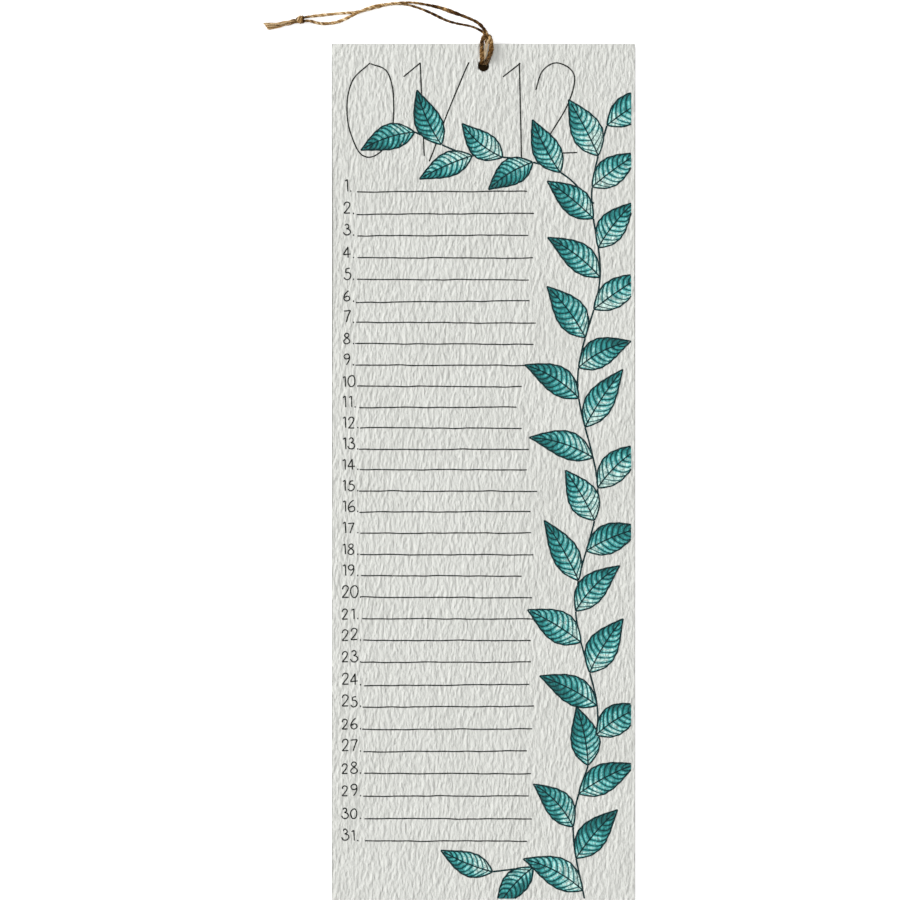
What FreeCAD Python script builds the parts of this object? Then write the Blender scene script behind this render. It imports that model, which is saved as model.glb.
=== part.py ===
import FreeCAD, Part
import math
import os

from FreeCAD import Vector

# Perpetual calendar: twelve tall month sheets of heavy embossed paper, hung from a loop of
# jute twine that is hitched through one punched hole at the head.
#
# Frame, in millimetres: the calendar lies face up on a table.  X runs across the sheets,
# +Y runs to the head, where the twine is, and +Z points out of the face.  The origin is on
# the table, under the middle of the stack.

# ---- Sheets ----
SHEET_WIDTH = 148.0
SHEET_LENGTH = 420.0
LEAF_COUNT = 12
LEAF_THICKNESS = 0.4
LEAF_STAGGER = 0.22  # how far a hand-squared leaf strays from its neighbours
STRAY_STEP_ACROSS = 2.4  # radians from leaf to leaf, in the two slow swings of the stack's edges
STRAY_STEP_ALONG = 1.7

# ---- Head of the stack, lifted by the two twine strands that pass beneath it ----
HEAD_LIFT = 2.1  # underside at the head edge, above the table
LIFTED_LENGTH = 120.0  # how much of the stack curves up

# ---- Punched hole ----
HOLE_DIAMETER = 5.5
HOLE_TO_HEAD_EDGE = 10.65

# ---- Twine ----
TWINE_DIAMETER = 1.6
TWINE_FLATS = 8  # a tube's section has its corners on the twine's round
ARC_SHARE = 0.45  # how much of its shorter run each arc of the twine takes up
KNOT_LENGTH = 4.0
KNOT_DIAMETER = 3.8
KNOT_FACE_DIAMETER = 3.5
KNOT_CENTRE = Vector(-89.75, 222.2, KNOT_DIAMETER / 2)
KNOT_TURN_DEG = 6.0  # the knot's axis, turned from -X towards -Y

STACK_THICKNESS = LEAF_COUNT * LEAF_THICKNESS
HEAD_EDGE_Y = SHEET_LENGTH / 2
HOLE_Y = HEAD_EDGE_Y - HOLE_TO_HEAD_EDGE
LIFT_START_Y = HEAD_EDGE_Y - LIFTED_LENGTH
# Radius of the arc that leaves the table at LIFT_START_Y and is HEAD_LIFT up at the head.
LIFT_RADIUS = (LIFTED_LENGTH**2 + HEAD_LIFT**2) / (2 * HEAD_LIFT)

# ---- Routes of the twine's centre line, chosen by hand ----
# The bight: up through the hole, along the face, over the head edge, round its own bend and
# back the same way.  Both ends are face to face with the strands halfway down the hole.
BIGHT_ROUTE = [
    (-0.85, 200.85, 4.24),
    (-0.85, 200.85, 7.67),
    (-1.25, 206.0, 7.75),
    (-1.4, 211.1, 8.1),
    (-1.45, 214.75, 1.0),
    (4.05, 214.75, 1.0),
    (4.2, 211.1, 8.1),
    (3.6, 206.2, 7.75),
    (0.85, 200.85, 7.67),
    (0.85, 200.85, 4.24),
]
# The strand that stays nearer the sheets, from the hole to the knot.
INNER_ROUTE = [
    (-0.85, 200.85, 4.24),
    (-0.85, 200.85, 0.85),
    (-0.6, 205.4, 0.85),
    (0.5, 210.7, 0.85),
    (0.7, 213.5, 3.15),
    (-1.0, 216.7, 3.15),
    (-5.6, 219.1, 0.85),
    (-12.0, 220.0, 0.82),
    (-18.5, 221.6, 0.82),
    (-24.8, 224.9, 0.82),
    (-31.8, 227.9, 0.82),
    (-39.6, 229.3, 0.82),
    (-47.6, 228.1, 0.82),
    (-55.2, 226.4, 0.82),
    (-62.6, 225.6, 0.82),
    (-69.6, 225.3, 0.82),
    (-75.8, 224.5, 0.82),
    (-81.0, 223.9, 1.15),
    (-85.46, 223.51, 1.9),
    (-87.85, 223.26, 1.9),
]
# The strand that swings out over the bend and later crosses over the other one.
OUTER_ROUTE = [
    (0.85, 200.85, 4.24),
    (0.85, 200.85, 0.85),
    (1.3, 205.4, 0.85),
    (2.25, 210.7, 0.85),
    (2.45, 213.5, 3.15),
    (1.1, 217.1, 3.15),
    (-2.2, 220.7, 0.85),
    (-7.2, 223.3, 0.82),
    (-14.0, 225.5, 0.82),
    (-22.0, 228.5, 0.82),
    (-30.6, 230.4, 0.82),
    (-39.6, 231.2, 0.82),
    (-47.4, 230.2, 0.82),
    (-53.0, 229.0, 0.82),
    (-59.2, 227.1, 2.6),
    (-65.4, 223.9, 2.6),
    (-71.4, 221.2, 0.85),
    (-76.6, 220.1, 0.82),
    (-81.3, 220.6, 1.15),
    (-85.28, 221.81, 1.9),
    (-87.67, 221.56, 1.9),
]
# The two cut ends beyond the knot.
LOWER_END_ROUTE = [
    (-91.70, 221.57, 1.16),
    (-94.09, 221.32, 1.16),
    (-97.8, 219.6, 0.85),
    (-101.4, 218.1, 0.82),
    (-104.9, 217.2, 0.82),
]
UPPER_END_ROUTE = [
    (-91.79, 222.41, 2.64),
    (-94.17, 222.16, 2.64),
    (-98.0, 221.0, 2.0),
    (-101.9, 219.9, 1.0),
    (-106.0, 219.7, 0.82),
]


def leaf_boundary(height):
    """The line between two leaves, seen from the side: flat, then curving up to the head."""
    beyond = 2 * LEAF_STAGGER
    foot = Vector(0, -HEAD_EDGE_Y - beyond, height)
    lift = Vector(0, LIFT_START_Y, height)
    radius = LIFT_RADIUS - height
    centre = Vector(0, LIFT_START_Y, LIFT_RADIUS)
    half_angle = math.asin((LIFTED_LENGTH + beyond) / radius) / 2

    def on_arc(angle):
        return centre + Vector(0, radius * math.sin(angle), -radius * math.cos(angle))

    middle = on_arc(half_angle)
    head = on_arc(2 * half_angle)
    return [Part.LineSegment(foot, lift).toShape(), Part.Arc(lift, middle, head).toShape()]


def leaf_plan(number):
    """Left edge and foot edge of a leaf: each leaf strays a little from the top one."""
    if number == LEAF_COUNT - 1:
        return -SHEET_WIDTH / 2, -HEAD_EDGE_Y
    across = LEAF_STAGGER * math.sin(STRAY_STEP_ACROSS * number)
    along = LEAF_STAGGER * math.cos(STRAY_STEP_ALONG * number)
    return -SHEET_WIDTH / 2 + across, -HEAD_EDGE_Y + along


def leaf(number):
    """One leaf: its layer of the stack, cut to its own rectangle."""
    lower = leaf_boundary(number * LEAF_THICKNESS)
    upper = leaf_boundary((number + 1) * LEAF_THICKNESS)
    foot = Part.makeLine(lower[0].Vertexes[0].Point, upper[0].Vertexes[0].Point)
    head = Part.makeLine(lower[1].Vertexes[1].Point, upper[1].Vertexes[1].Point)
    outline = Part.Wire(Part.__sortEdges__(lower + [head] + upper + [foot]))
    wide = SHEET_WIDTH + 4 * LEAF_STAGGER
    layer = Part.Face(outline).extrude(Vector(wide, 0, 0))
    layer.translate(Vector(-wide / 2, 0, 0))
    left, foot = leaf_plan(number)
    tall = STACK_THICKNESS + 2 * HEAD_LIFT
    rectangle = Part.makeBox(SHEET_WIDTH, SHEET_LENGTH, tall, Vector(left, foot, -HEAD_LIFT / 2))
    return layer.common(rectangle)


def month_sheets():
    """The twelve leaves, punched through together."""
    leaves = [leaf(number) for number in range(LEAF_COUNT)]
    stack = leaves[0].fuse(leaves[1:])
    slope = math.asin((HOLE_Y - LIFT_START_Y) / LIFT_RADIUS)
    through = Vector(0, -math.sin(slope), math.cos(slope))
    stroke = 3 * (STACK_THICKNESS + HEAD_LIFT)
    middle = Vector(0, HOLE_Y, STACK_THICKNESS / 2 + HEAD_LIFT)
    punch = Part.makeCylinder(HOLE_DIAMETER / 2, stroke, middle - through * (stroke / 2), through)
    return stack.cut(punch)


def twine_section(centre, along):
    """The twine's section, square to its run."""
    upright = abs(along.z) > math.hypot(along.x, along.y)
    across = along.cross(Vector(0, 1, 0) if upright else Vector(0, 0, 1))
    spoke = across.normalize() * (TWINE_DIAMETER / 2)
    turn = FreeCAD.Rotation(along, 360 / TWINE_FLATS)
    corners = [centre + spoke]
    for _ in range(TWINE_FLATS):
        spoke = turn.multVec(spoke)
        corners.append(centre + spoke)
    return Part.Face(Part.makePolygon(corners))


def twine(name, route):
    """A plain tube along the route: straight runs joined by tangent arcs."""
    points = [Vector(*point) for point in route]
    edges = []
    radii = []
    start = points[0]
    for before, corner, after in zip(points, points[1:], points[2:]):
        back = before - corner
        ahead = after - corner
        half_turn = (math.pi - back.getAngle(ahead)) / 2
        reach = ARC_SHARE * min(back.Length, ahead.Length)
        radii.append(reach / math.tan(half_turn))
        first = corner + back.normalize() * reach
        last = corner + ahead.normalize() * reach
        inward = (back + ahead).normalize()
        depth = radii[-1] * (1 / math.cos(half_turn) - 1)
        edges.append(Part.LineSegment(start, first).toShape())
        edges.append(Part.Arc(first, corner + inward * depth, last).toShape())
        start = last
    edges.append(Part.LineSegment(start, points[-1]).toShape())
    path = Part.Wire(edges)
    section = twine_section(points[0], points[1] - points[0])
    tube = path.makePipe(section)
    share = tube.Volume / (section.Area * path.Length)
    print(name, "length", round(path.Length, 2), "volume over section x length", round(share, 4))
    print("   radii", [round(radius, 1) for radius in radii])
    return tube


def twine_knot():
    """The pulled-down overhand knot that ties both strands: a barrel with flat ends."""
    half = KNOT_LENGTH / 2
    face = KNOT_FACE_DIAMETER / 2
    belly = KNOT_DIAMETER / 2
    low = Vector(-half, 0, 0)
    rim_low = Vector(-half, face, 0)
    rim_high = Vector(half, face, 0)
    high = Vector(half, 0, 0)
    side = Part.Arc(rim_low, Vector(0, belly, 0), rim_high).toShape()
    outline = Part.Wire(
        [
            Part.LineSegment(low, rim_low).toShape(),
            side,
            Part.LineSegment(rim_high, high).toShape(),
            Part.LineSegment(high, low).toShape(),
        ]
    )
    barrel = Part.Face(outline).revolve(Vector(0, 0, 0), Vector(1, 0, 0), 360)
    barrel.rotate(Vector(0, 0, 0), Vector(0, 0, 1), KNOT_TURN_DEG)
    barrel.translate(KNOT_CENTRE)
    return barrel


def build():
    return {
        "month_sheets": month_sheets(),
        "twine_bight": twine("twine_bight", BIGHT_ROUTE),
        "twine_strand_inner": twine("twine_strand_inner", INNER_ROUTE),
        "twine_strand_outer": twine("twine_strand_outer", OUTER_ROUTE),
        "twine_knot": twine_knot(),
        "twine_end_lower": twine("twine_end_lower", LOWER_END_ROUTE),
        "twine_end_upper": twine("twine_end_upper", UPPER_END_ROUTE),
    }


os.makedirs("parts", exist_ok=True)
for node, shape in build().items():
    box = shape.BoundBox
    print(node, "valid", shape.isValid(), "solids", len(shape.Solids), "volume", round(shape.Volume, 2))
    print("   low", [round(v, 2) for v in (box.XMin, box.YMin, box.ZMin)])
    print("   high", [round(v, 2) for v in (box.XMax, box.YMax, box.ZMax)])
    shape.exportStep("parts/" + node + ".step")
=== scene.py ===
"""A perpetual calendar: twelve tall leaves of felt-marked paper on a hitched loop of jute twine.

Every length is in metres.  X runs across the leaves, +Y to their head and +Z out of the face.
"""

import math

import bpy
import numpy as np
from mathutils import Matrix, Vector
from mathutils.geometry import delaunay_2d_cdt


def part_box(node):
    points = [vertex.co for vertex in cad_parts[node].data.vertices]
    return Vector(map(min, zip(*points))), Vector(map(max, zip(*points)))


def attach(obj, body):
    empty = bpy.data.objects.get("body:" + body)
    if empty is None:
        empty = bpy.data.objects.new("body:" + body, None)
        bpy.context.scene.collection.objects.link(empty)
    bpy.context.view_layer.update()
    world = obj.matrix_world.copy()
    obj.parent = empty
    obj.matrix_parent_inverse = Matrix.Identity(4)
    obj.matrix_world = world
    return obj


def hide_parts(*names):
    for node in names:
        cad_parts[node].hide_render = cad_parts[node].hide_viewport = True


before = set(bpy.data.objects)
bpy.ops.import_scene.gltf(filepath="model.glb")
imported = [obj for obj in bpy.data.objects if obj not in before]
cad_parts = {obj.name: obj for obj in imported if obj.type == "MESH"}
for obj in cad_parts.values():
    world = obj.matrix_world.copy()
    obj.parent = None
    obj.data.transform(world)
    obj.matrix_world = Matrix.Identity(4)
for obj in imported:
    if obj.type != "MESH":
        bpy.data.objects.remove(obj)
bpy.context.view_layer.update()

MM = 0.001
ROOT = "root"

# ---- Camera, square over the calendar ----
LENS = 150.0
SENSOR = 36.0
SEEN_WIDTH = 440.6 * MM
SEEN_CENTRE = (-16.4 * MM, 11.4 * MM)

# ---- Leaves ----
SHEET_WIDTH = 148 * MM
SHEET_LENGTH = 420 * MM
LEAF_COUNT = 12
STACK_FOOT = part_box("month_sheets")[0].z
LEAF_PITCH = 0.4 * MM
LEAF_BODY = 0.32 * MM
INNER_LEAF_BODY = 0.88 * LEAF_BODY
LEAF_STAGGER = 0.22 * MM
STRAY_STEP_ACROSS = 2.4
STRAY_STEP_ALONG = 1.7
EDGE_WAVE = 0.05 * MM
EDGE_WAVE_LENGTH = 9 * MM
INNER_EDGE_WAVE = 0.045 * MM
INNER_EDGE_WAVE_LENGTH = 6 * MM
INNER_EDGE_STEPS = (0.6 * MM, 1.8 * MM)
PLAIN_FACE_STEP = 12 * MM
PLAIN_FACE_HOLE_GAP = 2 * MM
FRONT_GRID = (320, 296)
BACK_GRID = (236, 200)
FRONT_SINK = 0.06 * MM
FRONT_UNDER_GAP = 0.03 * MM
BACK_OVER_GAP = 0.02 * MM
BACK_PRESSED = 0.5
BACK_RAISED = 0.55
LEAF_SHARP_DEG = 50
NO_AREA = 1e-16
HEAD_LIFT = 2.1 * MM
LIFTED_LENGTH = 120 * MM
HEAD_EDGE_Y = SHEET_LENGTH / 2
LIFT_START_Y = HEAD_EDGE_Y - LIFTED_LENGTH
LIFT_RADIUS = (LIFTED_LENGTH**2 + HEAD_LIFT**2) / (2 * HEAD_LIFT)

# ---- Punched hole ----
HOLE_RADIUS = 2.75 * MM
HOLE_Y = HEAD_EDGE_Y - 10.65 * MM
HOLE_STEPS = 40
HOLE_PATCH = 1.2 * MM
HOLE_RING = 0.35 * MM

# ---- Felt marks: long lens-shaped ridges that run up the sheet ----
RIDGES_PER_METRE = 530.0
RIDGE_SPREAD = 190.0
RIDGE_LENGTHS_PER_METRE = 230.0
RIDGE_SLOPE = 0.275
SLOWEST_RIDGES = 40.0
RIM_CALM = 0.5
RIM_BAND = 1.2 * MM

# ---- Printed design ----
PRINT_MARGIN = 1.7 * MM
PRINT_RIGHT = SHEET_WIDTH / 2 - PRINT_MARGIN
PRINT_FOOT = -SHEET_LENGTH / 2 + PRINT_MARGIN
INK_PROUD = 0.07 * MM
INK_BED = 0.12 * MM

# ---- Days ----
DAYS = 31
FIRST_RULE_Y = 137.95 * MM
RULE_PITCH = 10.6 * MM
RULES_SPREAD = 0.7 * MM
RULES_GATHERED = 2.7 * MM
RULE_WIDTH = 0.59 * MM
RULE_POINTS = 60
RULE_TILT = 0.15 * MM
RULE_WAVER = 0.17 * MM
RULE_WAVER_LENGTH = 45 * MM
RULE_LEVEL_STRAY = 0.12 * MM
RULE_START_STRAY = 0.4 * MM
TWO_FIGURES_FROM = 10
RULE_START = -62.2 * MM
LATER_RULE_START = -61.4 * MM
RULE_START_STEP = 0.15 * MM
RULE_ENDS_MM = (21, 26.5)
SHORT_RULES = (10, 11, 12, 19)
SHORT_RULE_ENDS_MM = (16, 20)
DIGIT_HEIGHT = 5.4 * MM
DIGIT_HEIGHT_STRAY = (0.9, 1.1)
DIGIT_RISE_MM = 0.1
DIGIT_RISE_STRAY_MM = 0.12
DIGIT_WIDTH = 1.2
DIGIT_STROKE = 0.6 * MM
DIGIT_ADVANCE = 4.3 * MM
ONE_ADVANCE = 3.0 * MM
DAY_LEFT = -68.6 * MM
TWO_FIGURE_DAY_LEFT = -69.5 * MM
POINT_GAP = 0.35 * MM
POINT_STROKE = 0.8 * MM
PEN_STEP = 0.22 * MM
PEN_SPAN_STEPS = 10
PEN_PRESSURE = 0.1
PEN_PRESSURE_LENGTH = 8 * MM
PEN_LIFT = 0.6
FIGURE_STRAY = 0.008
INK_SHARP_DEG = 60
HOLE_PRINT_GAP = 0.6 * MM

# ---- Month's number, of twelve ----
MONTH_TEXT = "01/12"
MONTH_LEFTS_MM = (-68.0, -43.5, -35.5, 4.5, 23.0)
MONTH_FOOT = 154.8 * MM
MONTH_HEIGHT = 46 * MM
MONTH_STROKE = 0.66 * MM
MONTH_WAVER = 0.25 * MM
MONTH_WAVER_LENGTH = 60 * MM

# ---- Vine ----
VINE_LEAF_LENGTH = 34 * MM
VINE_LEAF_LENGTH_STRAY = (0.9, 1.1)
VINE_LEAF_HALF_WIDTH = 7.6 * MM
VINE_LEAF_WIDTH_STRAY = (0.92, 1.08)
VINE_LEAF_BOW_MM = (0.6, 2.2)
VINE_LEAF_LEAN_STRAY_DEG = 6
VINE_LEAF_SPACING_STRAY = (0.93, 1.07)
VINE_TIP = 2 * MM
VINE_STEM_STEP = 0.5 * MM
VINE_OUTLINE = 0.76 * MM
VINE_MIDRIB = VINE_OUTLINE * 0.85
VINE_VEIN = 0.38 * MM
VINE_STEM = 0.85 * MM
OUTLINE_STEP = 0.32 * MM
VEIN_STROKE_STEP = 0.36 * MM
VEINS_A_SIDE = 8
FIRST_VEIN = 0.07
VEIN_STEP = 0.0986
# A side vein runs this share of the leaf's length forward, bending, and this far to the edge.
VEIN_FORWARD = 0.17
VEIN_BEND = 1.15
VEIN_REACH = 0.9

# ---- Twine ----
TWINE_DIAMETER = 1.6 * MM
TWINE_PITCH = 7 * MM
TWIST_STRAY = 0.7
TWIST_STRAY_LENGTH = 26 * MM
THICKNESS_STRAY = 0.07
THICKNESS_STRAY_LENGTH = 17 * MM
TONE_STRAY = 0.16
TONE_STRAY_LENGTH = 13 * MM
PLY_ROUND = 16
PLY_OFFSET = 0.19 * TWINE_DIAMETER
PLY_BODY = 0.275 * TWINE_DIAMETER
# How much painted shade and painted light each ply gets: darker on its side against the other ply,
# lighter on its outer side.
PLY_PAINTED_SHADING = 0.28
DARKEST = -0.3
FIBRE_SCALE = 1 / (1.5 * MM)
TWINE_STEP = 0.22 * MM
TWINE_LOWEST = 0.02 * MM
HAIR_RADIUS = 0.036 * MM
# Hairs start this share of the twine's diameter away from its middle.
HAIR_ROOT = 0.42
HAIR_REACH_MM = (0.6, 1.9)
HAIR_LOWEST = 0.06 * MM
HAIRS_PER_METRE = 900
BIGHT_HAIRS_PER_METRE = 4000
END_HAIRS_PER_METRE = 1200
FIBRES_AN_END = 64
END_STEP = 0.3 * MM
END_SPARE_STEPS = 12
END_BODY = 0.27 * TWINE_DIAMETER
END_LOWEST = 0.12 * MM
END_FIBRE_RADIUS_MM = (0.085, 0.135)
CUT_STRAY = 0.22 * MM
FAN_HALF_WIDTH = 1.3 * MM
KNOT_CENTRE = np.array([-89.75, 222.35, 2.05]) * MM
KNOT_TURN = math.radians(6)
KNOT_TURNS = 1.05
KNOT_SPREAD = 3.1 * MM
KNOT_TIGHT = 0.45 * MM
KNOT_SWELL = 0.94 * MM
KNOT_SHADE = 0.42
KNOT_CLEFT = (1.05 * MM, 1.6 * MM)
KNOT_PLY_PITCH = 16 * MM
KNOT_WRAP_POINTS = 90
KNOT_CORE_HALF = 1.7 * MM
KNOT_CORE_POINTS = 14
# The twine's centre line: the bight goes up through the hole, over the head
# edge, round its own bend and back.
BIGHT_ROUTE = [
    (-0.00085, 0.20085, 0.00424), (-0.0007, 0.20085, 0.0078), (-0.00075, 0.2062, 0.008),
    (-0.001, 0.2102, 0.00835), (0.0001, 0.2133, 0.0065), (0.0006, 0.2144, 0.00115),
    (0.0026, 0.2144, 0.00115), (0.0032, 0.2133, 0.0065), (0.00385, 0.2104, 0.00835),
    (0.00375, 0.2063, 0.008), (0.0017, 0.2009, 0.00785), (0.00085, 0.20085, 0.00424),
]
# The strand that stays nearer the sheets, from the hole to the knot.
INNER_ROUTE = [
    (-0.00085, 0.20085, 0.00424), (-0.00085, 0.20085, 0.00085), (0.0003, 0.2056, 0.00085),
    (0.0012, 0.211, 0.00085), (0.0012, 0.2129, 0.00325), (0.00055, 0.2156, 0.00325),
    (-0.0018, 0.2174, 0.0015), (-0.0058, 0.21935, 0.00085), (-0.012, 0.2204, 0.00082),
    (-0.0183, 0.222, 0.00082), (-0.0246, 0.22535, 0.00082), (-0.0316, 0.2283, 0.00082),
    (-0.0385, 0.23025, 0.00082), (-0.0455, 0.2304, 0.00082), (-0.0515, 0.2288, 0.00082),
    (-0.057, 0.22735, 0.00082), (-0.0625, 0.22605, 0.00082), (-0.069, 0.2258, 0.00082),
    (-0.0758, 0.2251, 0.00082), (-0.0814, 0.22445, 0.00115), (-0.08546, 0.2239, 0.0019),
    (-0.08785, 0.2235, 0.0019),
]
# The strand that swings out over the bend and later crosses over the other one.
OUTER_ROUTE = [
    (0.00085, 0.20085, 0.00424), (0.00085, 0.20085, 0.00085), (0.0019, 0.2056, 0.00085),
    (0.0025, 0.211, 0.00085), (0.00225, 0.2129, 0.00325), (0.0016, 0.2158, 0.00325),
    (-0.0017, 0.2206, 0.00095), (-0.007, 0.22325, 0.00085), (-0.0138, 0.22575, 0.00085),
    (-0.0215, 0.22855, 0.00085), (-0.029, 0.2301, 0.00085), (-0.035, 0.23095, 0.0016),
    (-0.041, 0.2307, 0.00235), (-0.048, 0.22985, 0.00235), (-0.0542, 0.2289, 0.0025),
    (-0.06, 0.2266, 0.0025), (-0.066, 0.22355, 0.002), (-0.0714, 0.22125, 0.0009),
    (-0.0767, 0.2205, 0.00082), (-0.0815, 0.2207, 0.00115), (-0.08528, 0.22205, 0.0019),
    (-0.08767, 0.22175, 0.0019),
]
# The two cut ends beyond the knot, one over the other.
LOWER_END_ROUTE = [
    (-0.0915, 0.2213, 0.00116), (-0.0941, 0.22075, 0.00105), (-0.0977, 0.21985, 0.00085),
    (-0.1012, 0.21915, 0.00082), (-0.1052, 0.21865, 0.00082),
]
UPPER_END_ROUTE = [
    (-0.0915, 0.2223, 0.0024), (-0.0942, 0.2218, 0.00225), (-0.0979, 0.2209, 0.002),
    (-0.1019, 0.2202, 0.0017), (-0.1065, 0.21985, 0.0013),
]
# The wisp of pale fibres that has come loose inside the bight's eye, from the hole to the bend.
WISP_ROUTE = [
    (0.0004, 0.2021, 0.0079), (0.0007, 0.204, 0.0086), (0.00105, 0.207, 0.00905),
    (0.0017, 0.2098, 0.009), (0.00215, 0.212, 0.0082),
]
WISP_FIBRES = 10
WISP_STEP = 0.6 * MM
WISP_HALF_WIDTH_MM = 0.75
WISP_FIBRE_RADIUS_MM = (0.045, 0.08)
# How thick and how pale the hand-spun twine is: (mm along it, value). About 9 to 15 mm along, where
# the two strands come out from under the lifted head into the shade of the stack and the bight,
# their tone is raised: painted light.
BIGHT_THICKNESS = [
    (0, 1.45), (6, 1.6), (20, 1.35), (24, 1.35), (32, 1.62), (38, 1.6), (45, 1.45),
]
BIGHT_TONE = [
    (0, 0.1), (4, 0.15), (8, 0.27), (13, 0.2), (21, 0.12), (28, 0.42), (31, 0.26), (34, 0.24),
    (37, 0.1), (45, 0.1),
]
INNER_THICKNESS = [
    (0, 0.8), (21, 0.82), (31, 0.76), (38, 0.82), (43, 1.1), (47, 0.9), (54, 0.76), (68, 0.95),
    (104, 1.0), (110, 0.88),
]
INNER_TONE_AND_PAINTED_LIGHT = [
    (0, 0.1), (9, 0.5), (15, 0.5), (19, 0.1), (30, 0.08), (46, 0.1), (52, 0.26), (62, 0.5),
    (70, 0.68), (103, 0.68), (110, 0.35),
]
OUTER_THICKNESS = [
    (0, 0.9), (24, 1.1), (31, 0.98), (35, 1.2), (40, 1.36), (44, 1.3), (48, 1.1), (53, 0.9),
    (59, 0.76), (70, 0.98), (90, 1.0), (97, 1.14), (105, 1.08), (114, 0.86),
]
OUTER_TONE_AND_PAINTED_LIGHT = [
    (0, 0.1), (9, 0.5), (14, 0.42), (19, 0.08), (36, 0.1), (40, 0.2), (42.5, 0.46), (45, 0.16),
    (52, 0.2), (60, 0.42), (69, 0.64), (92, 0.55), (104, 0.64), (114, 0.45),
]
# The slanting line that both ends were cut along.
CUT_HIGH = np.array([-107.7, 220.6]) * MM
CUT_LOW = np.array([-105.1, 216.9]) * MM

# ---- Table ----
TABLE_HALF = 6.0
TABLE_GLOW = 0.45
GLOW_STARTS = (-2 * MM, -0.4 * MM)
TABLE_COLOUR = (0.86, 0.86, 0.86, 1.0)
WHITE = (1.0, 1.0, 1.0, 1.0)
# Painted shade on the table under the punched hole: its colour and how far it reaches.
HOLE_PAINTED_SHADE_COLOUR = (0.036, 0.021, 0.01, 1.0)
HOLE_PAINTED_SHADE_REACH = (1.3 * HOLE_RADIUS, 2.2 * HOLE_RADIUS)

# ---- Light ----
ROOM_LEVEL = 0.32
WINDOW_PLACE = (-7.2, 2.0, 3.3)
WINDOW_SIZE = 4.4
WINDOW_POWER = 625.0
CEILING_PLACE = (0.2, 0.0, 4.5)
CEILING_SIZE = 2.0
CEILING_POWER = 88.0


# ---------------- objects and camera ----------------


def placed(name, data):
    """A new object in the scene, for a mesh, curve, lamp or camera."""
    piece = bpy.data.objects.new(name, data)
    bpy.context.collection.objects.link(piece)
    return piece


def make_camera():
    """A long lens straight above the calendar, with the head of the sheets up."""
    lens = bpy.data.cameras.new("camera")
    lens.lens = LENS
    lens.sensor_width = SENSOR
    lens.clip_start = 0.01
    lens.clip_end = 20.0
    camera = placed("camera", lens)
    distance = SEEN_WIDTH * LENS / SENSOR
    camera.location = (*SEEN_CENTRE, LEAF_COUNT * LEAF_PITCH + distance)
    bpy.context.scene.camera = camera


# ---------------- meshes ----------------


def signed_volume(points, faces):
    """Six times the volume inside a closed mesh: negative where its faces look inwards."""
    first, *others = (points[column] for column in faces.T)
    return sum(float((first * np.cross(a, b)).sum()) for a, b in zip(others, others[1:]))


def closed_piece(name, points, face_sets, material, numbers=None, sharp_deg=None):
    """A closed mesh that rides on the part.  numbers holds the values its material reads."""
    volume = sum(signed_volume(points, faces) for faces in face_sets)
    mesh = bpy.data.meshes.new(name)
    outward = 1 if volume > 0 else -1
    faces = [face for face_set in face_sets for face in face_set[:, ::outward].tolist()]
    mesh.from_pydata(points.tolist(), [], faces)
    mesh.shade_smooth()
    if sharp_deg is not None:
        mesh.set_sharp_from_angle(angle=math.radians(sharp_deg))
    for label, values in (numbers or {}).items():
        kind, key = ("FLOAT", "value") if values.ndim == 1 else ("FLOAT_VECTOR", "vector")
        layer = mesh.attributes.new(label, kind, "POINT")
        layer.data.foreach_set(key, values.astype(np.float32).ravel())
    mesh.materials.append(material)
    piece = placed(name, mesh)
    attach(piece, ROOT)
    return piece


def joined(parts):
    """Several (points, faces, numbers) put together as one."""
    points = np.vstack([part[0] for part in parts])
    start = np.cumsum([0] + [len(part[0]) for part in parts[:-1]])
    by_corners = {}
    for part, offset in zip(parts, start):
        for faces in part[1]:
            by_corners.setdefault(faces.shape[1], []).append(faces + offset)
    face_sets = [np.vstack(sets) for sets in by_corners.values()]
    labels = parts[0][2].keys()
    numbers = {label: np.concatenate([part[2][label] for part in parts]) for label in labels}
    return points, face_sets, numbers


# ---------------- lines ----------------


def read_route(route):
    """The line of a NURBS spline that has the route's points as its control points."""
    curve = bpy.data.curves.new("route", "CURVE")
    curve.dimensions = "3D"
    spline = curve.splines.new("NURBS")
    spline.points.add(len(route) - 1)
    for point, place in zip(spline.points, route):
        point.co = (*place, 1.0)
    spline.order_u = 3
    spline.use_endpoint_u = True
    spline.resolution_u = 16
    carrier = placed("route", curve)
    line = bpy.data.meshes.new_from_object(carrier)
    points = np.array([vertex.co for vertex in line.vertices])
    bpy.data.objects.remove(carrier)
    bpy.data.curves.remove(curve)
    bpy.data.meshes.remove(line)
    return points


def distances(points):
    """How far along its line each point lies."""
    steps = np.linalg.norm(np.diff(points, axis=0), axis=1)
    return np.concatenate([[0.0], np.cumsum(steps)])


def even_line(points, spacing):
    """The same line with its points evenly spaced."""
    along = distances(points)
    count = max(2, int(round(along[-1] / spacing)) + 1)
    places = np.linspace(0.0, along[-1], count)
    return np.column_stack([np.interp(places, along, axis) for axis in points.T])


def smooth_line(points):
    """A flowing pen line through a few chosen points."""
    if len(points) < 3:
        return points
    held = np.vstack([2 * points[0] - points[1], points, 2 * points[-1] - points[-2]])
    share = np.linspace(0, 1, PEN_SPAN_STEPS, endpoint=False)[:, None]
    spans = []
    for p0, p1, p2, p3 in zip(held, held[1:], held[2:], held[3:]):
        pull = 2 * p0 - 5 * p1 + 4 * p2 - p3
        twist = 3 * p1 - p0 - 3 * p2 + p3
        spans.append(p1 + 0.5 * ((p2 - p0) * share + pull * share**2 + twist * share**3))
    return np.vstack(spans + [points[-1:]])


def unit(rows):
    """The directions of some vectors."""
    return rows / np.maximum(np.linalg.norm(rows, axis=1), 1e-12)[:, None]


def circle(count):
    """Angles evenly spaced round a circle."""
    return np.linspace(0, 2 * np.pi, count, endpoint=False)


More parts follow.
